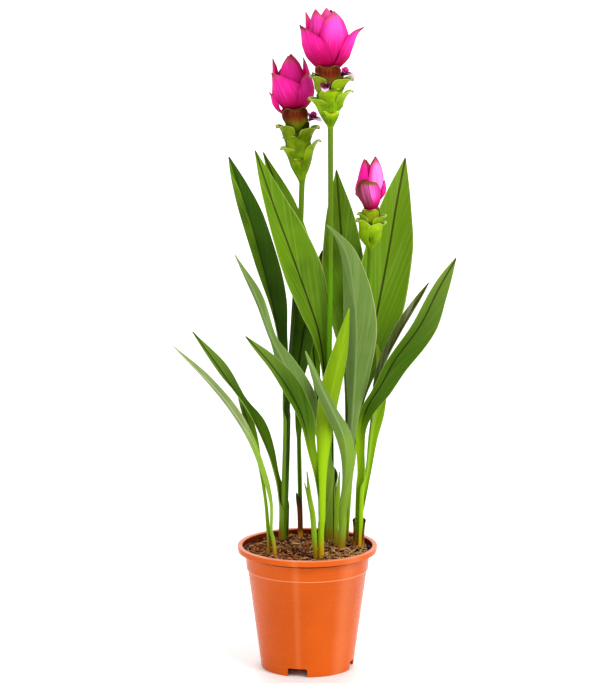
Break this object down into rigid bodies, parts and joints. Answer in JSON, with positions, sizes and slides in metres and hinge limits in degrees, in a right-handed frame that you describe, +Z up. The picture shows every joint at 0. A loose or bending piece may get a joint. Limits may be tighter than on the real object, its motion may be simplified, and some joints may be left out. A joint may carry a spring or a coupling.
{
  "type": "potted plant",
  "caption": "Leafy flowering plant with folded lance-shaped leaves and pink-bracted flower heads on tall stems, standing in a soil-filled round plastic nursery pot.",
  "frame": {"origin": "centre of the pot's underside, on the pot's axis, at the height of the surface the pot stands on", "axes": "+Z up along the pot's axis; the pictured side looks along -Y; +X to the right of the picture"},
  "size_m": [0.2549, 0.1536, 0.6141],
  "materials": {
    "pot_orange": "smooth glossy orange plastic",
    "soil_brown": "rough bark and coir chips",
    "leaf_green": "satin, finely ribbed leaf",
    "leaf_dark": "satin, finely ribbed dark leaf",
    "leaf_lime": "satin, finely ribbed lime leaf",
    "leaf_grey": "dull, finely ribbed leaf underside",
    "sheath_brown": "dull dry sheath",
    "scape_green": "satin round stem",
    "bract_green": "satin fleshy bract",
    "bract_pink": "satin petal-like bract",
    "floret_white": "soft petal"
  },
  "bodies": {
    "root": {"pot": "pot_orange", "soil": "soil_brown", "leaf_slender_lime": "leaf_lime", "leaf_slender_dark": "leaf_dark", "leaf_left_outer": "leaf_dark", "leaf_left_tall": "leaf_dark", "leaf_thin_back": "leaf_dark", "leaf_front_lime": "leaf_lime", "leaf_front_dark": "leaf_dark", "leaf_tall_outer": "leaf_grey", "leaf_tall_broad": "leaf_green", "leaf_back": "leaf_green", "leaf_bud_left": "leaf_green", "leaf_bud_right": "leaf_green", "leaf_grey_front": "leaf_grey", "leaf_grey_narrow": "leaf_grey", "leaf_right_front": "leaf_dark", "leaf_edge_brown": "leaf_dark", "leaf_edge_lime": "leaf_lime", "spear_fork": "leaf_lime", "spear_centre": "leaf_lime", "scape_tall": "scape_green", "scape_left": "scape_green", "scape_bud": "scape_green", "sheath_tall": "sheath_brown", "sheath_thin": "sheath_brown", "sheath_edge": "sheath_brown", "sheath_right": "sheath_brown", "bracts_green_tall": "bract_green", "bracts_pink_tall": "bract_pink", "floret_tall_1": "floret_white", "floret_tall_2": "floret_white", "bracts_green_left": "bract_green", "bracts_pink_left": "bract_pink", "floret_left_1": "floret_white", "bracts_green_bud": "bract_green", "bracts_pink_bud": "bract_pink"}
  },
  "joints": []
}
